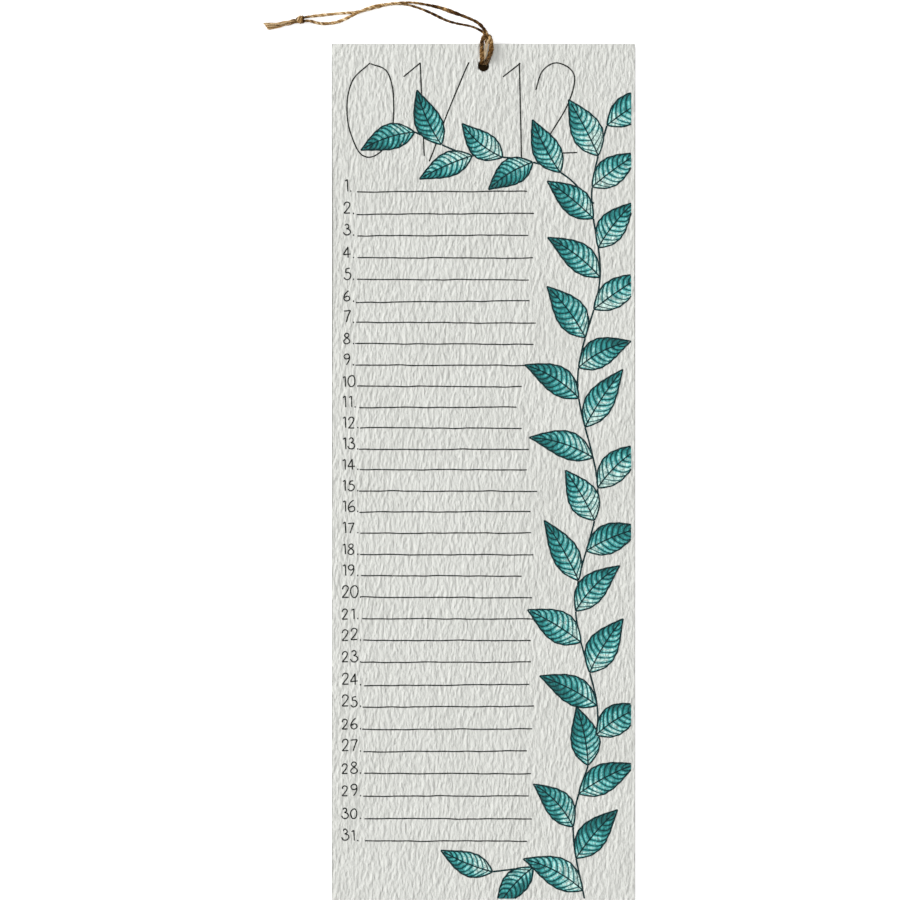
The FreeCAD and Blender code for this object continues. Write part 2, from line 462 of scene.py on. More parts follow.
def ring_quads(rings, around):
    """Quads between neighbouring rings of points, with this many points around each."""
    ring = np.arange(rings - 1)[:, None] * around
    step = np.arange(around)
    after = (step + 1) % around
    quads = np.stack([ring + step, ring + after, ring + around + after, ring + around + step], -1)
    return quads.reshape(-1, 4)


def carried_frames(line):
    """Unit directions along, beside and above a line, carried along it without twisting."""
    ahead = unit(np.gradient(line, axis=0))
    side = np.empty_like(line)
    start = np.cross(ahead[0], (0.0, 1.0, 0.0) if abs(ahead[0][2]) > 0.7 else (0.0, 0.0, 1.0))
    side[0] = start / np.linalg.norm(start)
    for k in range(1, len(line)):
        carried = side[k - 1] - ahead[k] * side[k - 1].dot(ahead[k])
        side[k] = carried / np.linalg.norm(carried)
    return ahead, side, np.cross(ahead, side)


def unevenness(places, rng, longest):
    """A wandering value of about -1 to 1 along a line."""
    total = np.zeros_like(places)
    for k in range(5):
        wave = longest / (1 + 0.9 * k)
        total += np.sin(2 * np.pi * places / wave + rng.uniform(0, 2 * np.pi)) / (1 + 0.5 * k)
    return total / 1.9


# ---------------- twine ----------------


def tube(line, side, above, radius, place_turn, tone, painted_shading=0.0):
    """A closed tube of fibres.  radius has a row for each ring and a column round it.

    The last argument paints shade on the side that lies against its neighbour and paints light on
    the side that faces out, most where the twine is pale.
    """
    rings, around = radius.shape
    angle = circle(around)
    outward = side[:, None] * np.cos(angle)[None, :, None]
    outward = outward + above[:, None] * np.sin(angle)[None, :, None]
    points = (line[:, None] + outward * radius[:, :, None]).reshape(-1, 3)
    tips = len(points)
    points = np.vstack([points, line[:1], line[-1:]])
    step = np.arange(around)
    after = (step + 1) % around
    last = (rings - 1) * around
    near = np.stack([np.full(around, tips), after, step], -1)
    far = np.stack([np.full(around, tips + 1), last + step, last + after], -1)
    turned = angle[None, :] + place_turn[:, None]
    along = np.broadcast_to((distances(line) * FIBRE_SCALE)[:, None], turned.shape)
    place = np.stack([np.cos(turned), np.sin(turned), along], -1).reshape(-1, 3)
    place = np.vstack([place, place[:1], place[-1:]])
    # Painted shade on the side against the neighbour, painted light on the side facing out.
    shaded = painted_shading * (0.4 + 0.9 * tone[:, None]) * (np.cos(angle)[None, :] - 0.4)
    tones_and_painted_shading = (tone[:, None] + shaded).ravel()
    tones_and_painted_shading = np.clip(np.concatenate([tones_and_painted_shading, tone[:1], tone[-1:]]), DARKEST, 1)
    numbers = {"fibre_place": place, "fibre_tone_and_painted_shading": tones_and_painted_shading}
    points[:, 2] = np.maximum(points[:, 2], TWINE_LOWEST)
    return points, [ring_quads(rings, around), np.vstack([near, far])], numbers


def ply(line, turn, thick, rng, tone, pitch):
    """One of the two plies of the twine, wound round its centre line by the angle turn."""
    along = distances(line)
    _, side, above = carried_frames(line)
    outward = side * np.cos(turn)[:, None] + above * np.sin(turn)[:, None]
    middle = line + outward * (PLY_OFFSET * thick)[:, None]
    ahead = unit(np.gradient(middle, axis=0))
    across = unit(np.cross(ahead, outward))
    outward = np.cross(across, ahead)
    # The fibres wind the other way round the ply, with shallow grooves between them.
    fibre_turn = -2 * np.pi * along / (0.8 * pitch) + rng.uniform(0, 6)
    around = circle(PLY_ROUND)
    angle = around + fibre_turn[:, None]
    start = rng.uniform(0, 6, 3)
    groove = 0.06 * np.sin(4 * angle + start[0]) + 0.05 * np.sin(5 * angle + start[1])
    groove = groove + 0.04 * np.sin(3 * angle - along[:, None] / (0.9 * MM) + start[2])
    body = PLY_BODY * thick * (1 + 0.08 * unevenness(along, rng, 6 * MM))
    # Each ply is pressed flat against the other one.
    pressed = 1 + 0.27 * np.sin(around) ** 2 - 0.12 * (np.cos(around) < -0.5)
    radius = body[:, None] * (1 + groove) * pressed
    return tube(middle, outward, across, radius, fibre_turn, tone, PLY_PAINTED_SHADING)


def stray_hair(start, outward, ahead, reach, rng):
    """A loose fibre that lifts off the twine and curls back."""
    lean = rng.uniform(0.5, 1.6) * rng.choice([-1, 1])
    bow = np.linspace(0, 1, 8)[:, None]
    curl = rng.normal(0, 0.35, 3)
    line = start + reach * (bow * (ahead * lean + outward * 0.55) + bow**2 * (curl - outward * 0.3))
    line[:, 2] = np.maximum(line[:, 2], HAIR_LOWEST)
    _, side, above = carried_frames(line)
    taper = np.linspace(1.0, 0.35, len(line))
    radius = np.repeat((HAIR_RADIUS * taper)[:, None], 3, axis=1)
    tone = np.full(len(line), rng.uniform(0.7, 1.0))
    return tube(line, side, above, radius, np.zeros(len(line)), tone)


def hairs(line, thick, per_metre, rng):
    """Loose fibres scattered along a stretch of twine."""
    ahead, side, above = carried_frames(line)
    found = []
    for _ in range(int(per_metre * distances(line)[-1])):
        k = rng.integers(4, len(line) - 4)
        angle = rng.uniform(0, 2 * np.pi)
        outward = side[k] * math.cos(angle) + above[k] * math.sin(angle)
        start = line[k] + outward * HAIR_ROOT * TWINE_DIAMETER * thick[k]
        found.append(stray_hair(start, outward, ahead[k], rng.uniform(*HAIR_REACH_MM) * MM, rng))
    return found


def two_ply(line, thick, rng, tone, phase=0.0, pitch=TWINE_PITCH):
    """The pair of plies that make the twine: it is twisted unevenly, by hand."""
    along = distances(line)
    stray = TWIST_STRAY * unevenness(along, rng, TWIST_STRAY_LENGTH)
    turn = 2 * np.pi * along / pitch + phase + stray
    first = ply(line, turn, thick, rng, tone, pitch)
    second = ply(line, turn + np.pi, thick, rng, tone, pitch)
    return [first, second]


def ramp(value, low, high):
    """0 below low, 1 above high, eased between."""
    share = np.clip((value - low) / (high - low), 0, 1)
    return share * share * (3 - 2 * share)


def read_table(table, along):
    """The value at each place along the twine, in straight steps between its table's rows."""
    places, values = np.array(table).T
    return np.interp(along, places * MM, values)


def loose_wisp(rng):
    """Fibres side by side along the wisp's route, nearer together at its two ends."""
    line = even_line(read_route(WISP_ROUTE), WISP_STEP)
    share = np.linspace(0, 1, len(line))
    spread = 0.25 + 0.75 * np.sin(np.pi * share)
    found = []
    for place in np.linspace(-WISP_HALF_WIDTH_MM, WISP_HALF_WIDTH_MM, WISP_FIBRES) * MM:
        sway = 0.12 * MM * unevenness(share, rng, 0.9)
        fibre = line.copy()
        fibre[:, 0] += place * spread + sway
        fibre[:, 2] += rng.normal(0, 0.14 * MM) * spread
        _, side, above = carried_frames(fibre)
        radius = np.full((len(fibre), 5), rng.uniform(*WISP_FIBRE_RADIUS_MM) * MM)
        tone = np.full(len(fibre), rng.uniform(0.85, 1.0))
        turn = np.full(len(fibre), rng.uniform(0, 40.0))
        found.append(tube(fibre, side, above, radius, turn, tone))
    return found


def twine_cord(name, route, seed, thickness, tone, material, hairiness=HAIRS_PER_METRE, wisp=False):
    """A stretch of twine along a route, with tables of its thickness and its tone."""
    rng = np.random.default_rng(seed)
    line = even_line(read_route(route), TWINE_STEP)
    along = distances(line)
    uneven = THICKNESS_STRAY * unevenness(along, rng, THICKNESS_STRAY_LENGTH)
    thick = read_table(thickness, along) * (1 + uneven)
    mottled = TONE_STRAY * unevenness(along, rng, TONE_STRAY_LENGTH)
    shade = np.clip(read_table(tone, along) + mottled, DARKEST, 1)
    parts = two_ply(line, thick, rng, shade, phase=rng.uniform(0, 6))
    parts += hairs(line, thick, hairiness, rng)
    if wisp:
        parts += loose_wisp(rng)
    points, face_sets, numbers = joined(parts)
    piece = closed_piece(name, points, face_sets, material, numbers)
    return piece, line


def overhand_knot(material):
    """The pulled-down knot: both strands wrapped side by side round themselves."""
    rng = np.random.default_rng(41)
    along_axis = np.array([-math.cos(KNOT_TURN), -math.sin(KNOT_TURN), 0.0])
    flat = np.array([-along_axis[1], along_axis[0], 0.0])
    up = np.array([0.0, 0.0, 1.0])
    share = np.linspace(0, 1, KNOT_WRAP_POINTS)
    # The wraps come out of the core and dive back into it.
    swell = ramp(share, 0, 0.14) * ramp(1 - share, 0, 0.14)
    reach = KNOT_TIGHT + KNOT_SWELL * swell
    thick = np.full(len(share), 1.0)
    parts = []
    for start in (0.3, 0.3 + np.pi):
        turn = start - 2 * np.pi * KNOT_TURNS * share
        spoke = flat * np.cos(turn)[:, None] + up * np.sin(turn)[:, None]
        place = along_axis * ((share - 0.5) * KNOT_SPREAD)[:, None]
        line = KNOT_CENTRE + place + spoke * reach[:, None]
        tone = 0.25 + 0.34 * ramp(share, 0.12, 0.55) - 0.1 * ramp(share, 0.8, 1.0)
        parts += two_ply(line, thick, rng, tone, phase=start, pitch=KNOT_PLY_PITCH)
        parts += hairs(line, thick, HAIRS_PER_METRE, rng)
    out = np.linspace(-KNOT_CORE_HALF, KNOT_CORE_HALF, KNOT_CORE_POINTS)
    core = KNOT_CENTRE + along_axis * out[:, None]
    parts += two_ply(core, np.full(len(core), 0.9), rng, np.full(len(core), 0.1))
    points, face_sets, numbers = joined(parts)
    # The clefts between the wraps are darkened with painted shade.
    spoke = points - KNOT_CENTRE
    spoke = spoke - np.outer(spoke @ along_axis, along_axis)
    cleft_shade = 1 - ramp(np.linalg.norm(spoke, axis=1), *KNOT_CLEFT)
    numbers["fibre_tone_and_painted_shading"] = np.clip(numbers["fibre_tone_and_painted_shading"] - KNOT_SHADE * cleft_shade, 0, 1)
    return closed_piece("overhand_knot", points, face_sets, material, numbers)


def cut_end(name, route, seed, start_turn, material):
    """A cut end whose fibres come untwisted and flare out to the slanting cut."""
    rng = np.random.default_rng(seed)
    line = even_line(read_route(route), END_STEP)
    last = line[-1] - line[-2]
    beyond = line[-1] + last * np.arange(1, END_SPARE_STEPS + 1)[:, None]
    line = np.vstack([line, beyond])
    along = distances(line)
    share = along / along[-1]
    _, side, above = carried_frames(line)
    cut = CUT_LOW - CUT_HIGH
    cut_normal = np.array([cut[1], -cut[0]]) / np.linalg.norm(cut)
    parts = []
    fan = np.linspace(-FAN_HALF_WIDTH, FAN_HALF_WIDTH, FIBRES_AN_END)
    rng.shuffle(fan)
    for k in range(FIBRES_AN_END):
        # Wound as in the twine at first, then opened out into the fan.
        home = END_BODY * math.sqrt(rng.uniform(0, 1))
        home_turn = rng.uniform(0, 2 * np.pi)
        unwinding = 2 * np.pi * along / TWINE_PITCH * (1 - 0.55 * share)
        ply_turn = unwinding + np.pi * (k % 2) + start_turn
        own_turn = home_turn - 0.6 * unwinding
        flat = PLY_OFFSET * np.cos(ply_turn) + home * np.cos(own_turn)
        high = PLY_OFFSET * np.sin(ply_turn) + home * np.sin(own_turn)
        opened = 0.92 * ramp(share, 0.3, 1.05)
        flat = 0.95 * flat * (1 - opened) + fan[k] * opened
        place = line + side * flat[:, None] + above * (high * (0.95 - 0.25 * share))[:, None]
        place[:, 2] = np.maximum(place[:, 2], END_LOWEST)
        # Each fibre stops about where the scissors cut.
        past = (place[:, :2] - CUT_HIGH) @ cut_normal
        inside = past < rng.normal(0, CUT_STRAY)
        stop = len(place) if inside.all() else max(12, int(np.argmin(inside)))
        place = place[:stop]
        _, fibre_side, fibre_above = carried_frames(place)
        body = rng.uniform(*END_FIBRE_RADIUS_MM) * MM
        radius = np.repeat(body * (1 + 0.1 * unevenness(along[:stop], rng, 4 * MM))[:, None], 5, 1)
        tone = 0.42 + 0.42 * share[:stop] + rng.normal(0, 0.27)
        turn = np.full(stop, rng.uniform(0, 40.0))
        tone = np.clip(tone, 0, 1)
        parts.append(tube(place, fibre_side, fibre_above, radius, turn, tone))
    parts += hairs(line[: int(0.75 * len(line))], np.ones(len(line)), END_HAIRS_PER_METRE, rng)
    points, face_sets, numbers = joined(parts)
    return closed_piece(name, points, face_sets, material, numbers)


def make_twine(material):
    """The hitch, the two strands to the knot, the knot and the cut ends."""
    bight, bight_line = twine_cord(
        "hitch_bight", BIGHT_ROUTE, 11, BIGHT_THICKNESS, BIGHT_TONE, material,
        BIGHT_HAIRS_PER_METRE, wisp=True,
    )
    inner, inner_line = twine_cord(
        "strand_beside_sheets", INNER_ROUTE, 12, INNER_THICKNESS, INNER_TONE_AND_PAINTED_LIGHT, material
    )
    outer, outer_line = twine_cord(
        "strand_swung_out", OUTER_ROUTE, 13, OUTER_THICKNESS, OUTER_TONE_AND_PAINTED_LIGHT, material
    )
    knot = overhand_knot(material)
    lower = cut_end("cut_end_lower", LOWER_END_ROUTE, 21, 0.4, material)
    upper = cut_end("cut_end_upper", UPPER_END_ROUTE, 22, 1.3, material)
    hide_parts("twine_bight")
    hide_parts("twine_strand_inner")
    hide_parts("twine_strand_outer")
    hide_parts("twine_knot")
    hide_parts("twine_end_lower")
    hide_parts("twine_end_upper")


# ---------------- leaves ----------------


def layer_height(y, level):
    """Height of the layer that lies this far up the flat stack: it curves up to the head."""
    past = np.maximum(np.asarray(y, float) - LIFT_START_Y, 0.0)
    return STACK_FOOT + LIFT_RADIUS - np.sqrt((LIFT_RADIUS - level) ** 2 - past**2)


def leaf_corner(number):
    """Left and foot edges of a leaf: each strays a little from the top one."""
    if number == LEAF_COUNT - 1:
        return -SHEET_WIDTH / 2, -SHEET_LENGTH / 2
    across = LEAF_STAGGER * math.sin(STRAY_STEP_ACROSS * number)
    along = LEAF_STAGGER * math.cos(STRAY_STEP_ALONG * number)
    return -SHEET_WIDTH / 2 + across, -SHEET_LENGTH / 2 + along


class FeltMarks:
    """The felt marks pressed into one face, as a grid of heights that can be read anywhere."""

    def __init__(self, seed, corner, columns, rows):
        shape = (rows + 1, columns + 1)
        self.x = corner[0] + np.linspace(0, SHEET_WIDTH, columns + 1)
        self.y = corner[1] + np.linspace(0, SHEET_LENGTH, rows + 1)
        # Noise in a narrow band across the sheet and a wide one along it, scaled by its slope.
        rng = np.random.default_rng(seed)
        waves = np.fft.rfft2(rng.standard_normal(shape))
        along = np.fft.fftfreq(rows + 1, SHEET_LENGTH / rows)[:, None]
        across = np.fft.rfftfreq(columns + 1, SHEET_WIDTH / columns)[None, :]
        band = np.exp(-(((across - RIDGES_PER_METRE) / (2 * RIDGE_SPREAD)) ** 2))
        band = band * np.exp(-((along / RIDGE_LENGTHS_PER_METRE) ** 2) / 2)
        slope_of = 2j * np.pi * across
        slope = np.fft.irfft2(waves * band, shape)
        quick = across > SLOWEST_RIDGES
        heights = np.where(quick, band / np.where(quick, slope_of, 1.0), 0.0)
        heights = np.fft.irfft2(waves * heights, shape) * (RIDGE_SLOPE / slope.std())
        from_side = np.minimum(self.x - self.x[0], self.x[-1] - self.x)[None, :]
        from_end = np.minimum(self.y - self.y[0], self.y[-1] - self.y)[:, None]
        inward = ramp(np.minimum(from_side, from_end), 0, RIM_BAND)
        self.heights = heights * (RIM_CALM + (1 - RIM_CALM) * inward)

    def at(self, x, y):
        """Height at a place, on the same triangles as the mesh."""
        across = (np.asarray(x) - self.x[0]) / (self.x[1] - self.x[0])
        along = (np.asarray(y) - self.y[0]) / (self.y[1] - self.y[0])
        i = np.clip(across.astype(int), 0, len(self.x) - 2)
        j = np.clip(along.astype(int), 0, len(self.y) - 2)
        u = across - i
        v = along - j
        foot_left = self.heights[j, i]
        foot_right = self.heights[j, i + 1]
        head_left = self.heights[j + 1, i]
        head_right = self.heights[j + 1, i + 1]
        right = foot_left + u * (foot_right - foot_left) + v * (head_right - foot_right)
        left = foot_left + v * (head_left - foot_left) + u * (head_right - head_left)
        return np.where(u >= v, right, left)


def hole_round(level):
    """The punched hole's edge in plan, at a level of the stack.  The punch follows the lift."""
    slope = math.asin((HOLE_Y - LIFT_START_Y) / LIFT_RADIUS)
    middle = LEAF_COUNT * LEAF_PITCH / 2
    y = HOLE_Y - math.tan(slope) * (level - middle)
    angle = circle(HOLE_STEPS)
    return np.column_stack([HOLE_RADIUS * np.cos(angle), y + HOLE_RADIUS * np.sin(angle)])


def fill_between(points, hole, loops):
    """Triangles over a set of plan points, leaving out the hole's disc."""
    edges = [pair for loop in loops for pair in zip(loop, loop[1:] + loop[:1])]
    plan = [Vector(point) for point in points]
    _, _, faces, origins, _, _ = delaunay_2d_cdt(plan, edges, [], 0, 1e-9)
    triangles = np.array([[origins[corner][0] for corner in face] for face in faces])
    middles = points[triangles].mean(axis=1)
    centre = hole.mean(axis=0)
    clear = np.linalg.norm(middles - centre, axis=1) > HOLE_RADIUS * 0.97
    return triangles[clear]


def outermost(grid):
    """The entries round the edge of a grid, once round from its first one."""
    return np.concatenate([grid[0], grid[1:, -1], grid[-1, -2::-1], grid[-2:0:-1, 0]])


def marked_face(marks, hole):
    """A face on the grid of its felt marks.  Returns plan points, triangles, rim and hole rims."""
    points = np.dstack(np.meshgrid(marks.x, marks.y)).reshape(-1, 2)
    grid = np.arange(len(points)).reshape(len(marks.y), len(marks.x))
    # The grid is left out round the hole, and a patch of triangles joins the two.
    room = HOLE_RADIUS + HOLE_PATCH
    centre = hole.mean(axis=0)
    near_x = (marks.x[1:] > centre[0] - room) & (marks.x[:-1] < centre[0] + room)
    near_y = (marks.y[1:] > centre[1] - room) & (marks.y[:-1] < centre[1] + room)
    kept = ~(near_y[:, None] & near_x)
    right = np.stack([grid[:-1, :-1], grid[:-1, 1:], grid[1:, 1:]], -1)[kept]
    left = np.stack([grid[:-1, :-1], grid[1:, 1:], grid[1:, :-1]], -1)[kept]
    columns = np.flatnonzero(near_x)
    rows = np.flatnonzero(near_y)
    patch = grid[rows[0] : rows[-1] + 2, columns[0] : columns[-1] + 2].ravel()
    far = np.linalg.norm(points[patch] - centre, axis=1) > HOLE_RADIUS + HOLE_RING
    used = patch[far]
    hole_at = len(points) + np.arange(len(hole))
    corners = np.concatenate([used, hole_at])
    points = np.vstack([points, hole])
    loop = list(range(len(used), len(corners)))
    patch_triangles = corners[fill_between(points[corners], hole, [loop])]
    triangles = np.vstack([right, left, patch_triangles])
    return points, triangles, outermost(grid), hole_at


def plain_face(rim, hole):
    """A face with few points between its rim and its hole."""
    low = rim.min(axis=0)
    high = rim.max(axis=0)
    step = PLAIN_FACE_STEP
    x = np.arange(low[0] + step / 2, high[0] - step / 3, step)
    y = np.arange(low[1] + step / 2, high[1] - step / 3, step)
    inside = np.array([(a, b) for b in y for a in x])
    from_hole = np.linalg.norm(inside - hole.mean(axis=0), axis=1)
    clear = from_hole > HOLE_RADIUS + PLAIN_FACE_HOLE_GAP
    points = np.vstack([rim, hole, inside[clear]])
    rim_loop = list(range(len(rim)))
    hole_loop = list(range(len(rim), len(rim) + len(hole)))
    triangles = fill_between(points, hole, [rim_loop, hole_loop])
    return points, triangles, np.array(rim_loop), np.array(hole_loop)


def facing_up(points, triangles):
    """The triangles that cover anything, all wound the same way seen from above."""
    a, b, c = (points[triangles[:, k], :2] for k in range(3))
    turn = (b - a)[:, 0] * (c - a)[:, 1] - (b - a)[:, 1] * (c - a)[:, 0]
    wound = triangles.copy()
    wound[turn < 0] = wound[turn < 0][:, ::-1]
    return wound[np.abs(turn) > NO_AREA]


def rim_wall(upper, lower):
    """Quads between two matching rims."""
    return np.stack([upper, lower, np.roll(lower, -1), np.roll(upper, -1)], -1)


def leaf_solid(top, top_height, bottom, bottom_height):
    """A leaf from its two faces: points and faces of the closed solid."""
    top_plan, top_faces, top_rim, top_hole = top
    bottom_plan, bottom_faces, bottom_rim, bottom_hole = bottom
    upper = np.column_stack([top_plan, top_height])
    lower = np.column_stack([bottom_plan, bottom_height])
    points = np.vstack([upper, lower])
    offset = len(upper)
    triangles = np.vstack([
        facing_up(upper, top_faces),
        facing_up(lower, bottom_faces)[:, ::-1] + offset,
    ])
    walls = np.vstack([
        rim_wall(top_rim, bottom_rim + offset),
        rim_wall(top_hole, bottom_hole + offset)[:, ::-1],
    ])
    used = np.unique(np.concatenate([triangles.ravel(), walls.ravel()]))
    renumber = np.full(len(points), -1)
    renumber[used] = np.arange(len(used))
    return points[used], [renumber[triangles], renumber[walls]]


def waved_rim(rim, rng):
    """The cut edge wavers by a hair where the knife met the felt marks."""
    along = distances(rim)
    out = rim / np.array([SHEET_WIDTH / 2, SHEET_LENGTH / 2])
    sideways = np.where(np.abs(out) > 0.995, np.sign(out), 0.0)
    return rim + sideways * (EDGE_WAVE * unevenness(along, rng, EDGE_WAVE_LENGTH))[:, None]


def rim_at(corner, spacing_x, spacing_y):
    """The outline of a leaf, as points round its edge."""
    x = corner[0] + np.linspace(0, SHEET_WIDTH, int(SHEET_WIDTH / spacing_x) + 1)
    y = corner[1] + np.linspace(0, SHEET_LENGTH, int(SHEET_LENGTH / spacing_y) + 1)
    return outermost(np.dstack(np.meshgrid(x, y)))


def make_inner_leaf(number, material):
    """A leaf between the front and the back one: only its edges show."""
    rng = np.random.default_rng(300 + number)
    level = number * LEAF_PITCH
    rim = waved_rim(rim_at(leaf_corner(number), *INNER_EDGE_STEPS), rng)
    hole = hole_round(level)
    face = plain_face(rim, hole)
    along = distances(rim)
    wave = np.zeros(len(face[0]))
    wave[: len(rim)] = INNER_EDGE_WAVE * unevenness(along, rng, INNER_EDGE_WAVE_LENGTH)
    y = face[0][:, 1]
    middle = layer_height(y, level + LEAF_PITCH / 2) + wave
    half = INNER_LEAF_BODY / 2
    points, face_sets = leaf_solid(face, middle + half, face, middle - half)
    name = f"inner_leaf_{number:02d}"
    return closed_piece(name, points, face_sets, material, sharp_deg=LEAF_SHARP_DEG)


def make_back_leaf(material):
    """The last month's leaf: felt marks on its underside, which lies on the table."""
    marks = FeltMarks(72, leaf_corner(0), *BACK_GRID)
    hole = hole_round(0.0)
    under = marked_face(marks, hole)
    plan = under[0]
    rim = plan[under[2]]
    over = plain_face(rim, hole)
    lowest = -marks.heights.min()
    marked = np.maximum(marks.at(plan[:, 0], plan[:, 1]), -BACK_PRESSED * lowest)
    under_height = layer_height(plan[:, 1], 0.0) + BACK_RAISED * lowest + marked
    over_height = layer_height(over[0][:, 1], 0.0) + LEAF_BODY + BACK_OVER_GAP
    points, face_sets = leaf_solid(over, over_height, under, under_height)
    return closed_piece(
        "back_leaf", points, face_sets, material, sharp_deg=LEAF_SHARP_DEG
    )


FRONT_MARKS = FeltMarks(7, leaf_corner(LEAF_COUNT - 1), *FRONT_GRID)
FRONT_LEVEL = LEAF_COUNT * LEAF_PITCH - FRONT_SINK


def face_height(x, y):
    """Height of the front leaf's marked face."""
    return layer_height(y, FRONT_LEVEL) + FRONT_MARKS.at(x, y)


def make_front_leaf(vine, material):
    """The month's leaf: felt marks all over its face, and the vine's colour printed on it."""
    hole = hole_round(LEAF_COUNT * LEAF_PITCH)
    face = marked_face(FRONT_MARKS, hole)
    plan = face[0]
    height = face_height(plan[:, 0], plan[:, 1])
    under = plain_face(plan[face[2]], hole)
    under_height = layer_height(under[0][:, 1], (LEAF_COUNT - 1) * LEAF_PITCH + FRONT_UNDER_GAP)
    points, face_sets = leaf_solid(face, height, under, under_height)
    wash = vine_wash(vine, points[:, 0], points[:, 1])
    return closed_piece(
        "front_leaf", points, face_sets, material, wash, sharp_deg=LEAF_SHARP_DEG
    )


# ---------------- pen work ----------------

# Pen strokes of each figure, in a box one high: hand-lettered, narrow and round.
FIGURES = {
    "0": [[(0.28, 1.0), (0.08, 0.8), (0.02, 0.45), (0.13, 0.08), (0.3, 0.0), (0.47, 0.18),
           (0.53, 0.58), (0.45, 0.9), (0.28, 1.0)]],
    "1": [[(0.1, 0.86), (0.28, 1.0)], [(0.28, 1.0), (0.31, 0.0)]],
    "2": [[(0.05, 0.7), (0.12, 0.92), (0.3, 1.0), (0.46, 0.86), (0.41, 0.58), (0.23, 0.27),
           (0.04, 0.02)], [(0.04, 0.02), (0.5, 0.04)]],
    "3": [[(0.1, 0.86), (0.26, 1.0), (0.41, 0.87), (0.37, 0.66), (0.22, 0.58)],
          [(0.22, 0.58), (0.46, 0.48), (0.54, 0.24), (0.38, 0.02), (0.14, 0.04), (0.0, 0.26)]],
    "4": [[(0.36, 1.0), (0.0, 0.28)], [(0.0, 0.28), (0.56, 0.34)], [(0.36, 1.0), (0.37, -0.02)]],
    "5": [[(0.46, 0.98), (0.2, 0.93)], [(0.2, 0.93), (0.14, 0.6)],
          [(0.14, 0.6), (0.36, 0.62), (0.53, 0.4), (0.45, 0.1), (0.22, 0.0), (0.02, 0.18)]],
    "6": [[(0.42, 1.0), (0.18, 0.74), (0.04, 0.36), (0.12, 0.07), (0.3, 0.0), (0.49, 0.14),
           (0.47, 0.37), (0.3, 0.47), (0.07, 0.32)]],
    "7": [[(0.02, 0.93), (0.5, 0.98)], [(0.5, 0.98), (0.34, 0.52), (0.2, 0.0)]],
    "8": [[(0.28, 0.55), (0.1, 0.74), (0.15, 0.94), (0.3, 1.0), (0.43, 0.89), (0.4, 0.7),
           (0.16, 0.45), (0.03, 0.22), (0.12, 0.03), (0.32, 0.0), (0.5, 0.16), (0.46, 0.38),
           (0.28, 0.55)]],
    "9": [[(0.46, 0.74), (0.35, 0.56), (0.14, 0.57), (0.05, 0.77), (0.17, 0.96), (0.37, 0.97),
           (0.46, 0.74), (0.42, 0.38), (0.22, 0.0)]],
    "/": [[(0.62, 1.02), (0.42, 0.55), (0.2, -0.04)]],
    ".": [[(0.0, 0.04), (0.11, 0.04)]],
}


def figure_strokes(figure, left, foot, height, rng, wide=1.0):
    """The pen strokes of one figure, at its place on the leaf."""
    strokes = []
    for stroke in FIGURES[figure]:
        points = np.array(stroke) * (height * wide, height)
        if figure != ".":
            points = points + rng.normal(0, FIGURE_STRAY * height, points.shape)
        strokes.append(smooth_line(points) + (left, foot))
    return strokes


def kept_runs(line, hidden):
    """The stretches of a line that aren't hidden."""
    shown = np.flatnonzero(~hidden)
    runs = np.split(shown, np.flatnonzero(np.diff(shown) > 1) + 1)
    return [line[run] for run in runs if len(run) > 2]


def ink_sliver(line, width, rng):
    """A closed sliver of ink along a line, bedded in the paper."""
    ahead = unit(np.gradient(line, axis=0))
    beside = np.column_stack([-ahead[:, 1], ahead[:, 0]])
    along = distances(line)
    pressure = 1 + PEN_PRESSURE * unevenness(along, rng, PEN_PRESSURE_LENGTH)
    pressure[0] *= PEN_LIFT
    pressure[-1] *= PEN_LIFT
    half = beside * (width / 2 * pressure)[:, None]
    columns = [line + half, line, line - half, line]
    rises = [INK_PROUD, INK_PROUD, INK_PROUD, -INK_BED]
    section = [
        np.column_stack([edge, face_height(edge[:, 0], edge[:, 1]) + rise])
        for edge, rise in zip(columns, rises)
    ]
    count = len(section)
    points = np.stack(section, 1).reshape(-1, 3)
    first = np.arange(count)[None, ::-1]
    last = (len(line) - 1) * count + np.arange(count)[None, :]
    return points, [ring_quads(len(line), count), first, last], {}


def ink_piece(name, strokes, spacing, material, seed):
    """All strokes of one kind as a piece.  A stroke is its line, its width and its cover."""
    rng = np.random.default_rng(seed)
    parts = []
    for line, width, hidden_by in strokes:
        fine = even_line(line, spacing)
        hidden = off_the_print(fine)
        for cover in hidden_by:
            hidden |= cover.edge_distance(fine[:, 0], fine[:, 1]) < 0
        for run in kept_runs(fine, hidden):
            parts.append(ink_sliver(run, width, rng))
    points, face_sets, _ = joined(parts)
    return closed_piece(name, points, face_sets, material, sharp_deg=INK_SHARP_DEG)


def off_the_print(points):
    """Where a line runs past the printed area or over the punched hole."""
    from_hole = np.hypot(points[:, 0], points[:, 1] - HOLE_Y)
    past = (points[:, 0] > PRINT_RIGHT) | (points[:, 1] < PRINT_FOOT)
    return past | (from_hole < HOLE_RADIUS + HOLE_PRINT_GAP)


def day_rows():
    """The level, start and end of each day's rule, drawn by eye: they crowd past day ten."""
    rng = np.random.default_rng(31)
    rows = []
    for day in range(1, DAYS + 1):
        level = FIRST_RULE_Y - (day - 1) * RULE_PITCH + rng.normal(0, RULE_LEVEL_STRAY)
        later = day - TWO_FIGURES_FROM
        if later < 0:
            level -= RULES_SPREAD * math.sin(math.pi * (day - 1) / (TWO_FIGURES_FROM - 1))
            start = RULE_START
        else:
            level += RULES_GATHERED * math.sin(math.pi * later / (DAYS - TWO_FIGURES_FROM))
            start = LATER_RULE_START + RULE_START_STEP * later
        end = rng.uniform(*RULE_ENDS_MM) * MM
        if day in SHORT_RULES:
            end = rng.uniform(*SHORT_RULE_ENDS_MM) * MM
        rows.append((day, level, start + rng.normal(0, RULE_START_STRAY), end))
    return rows


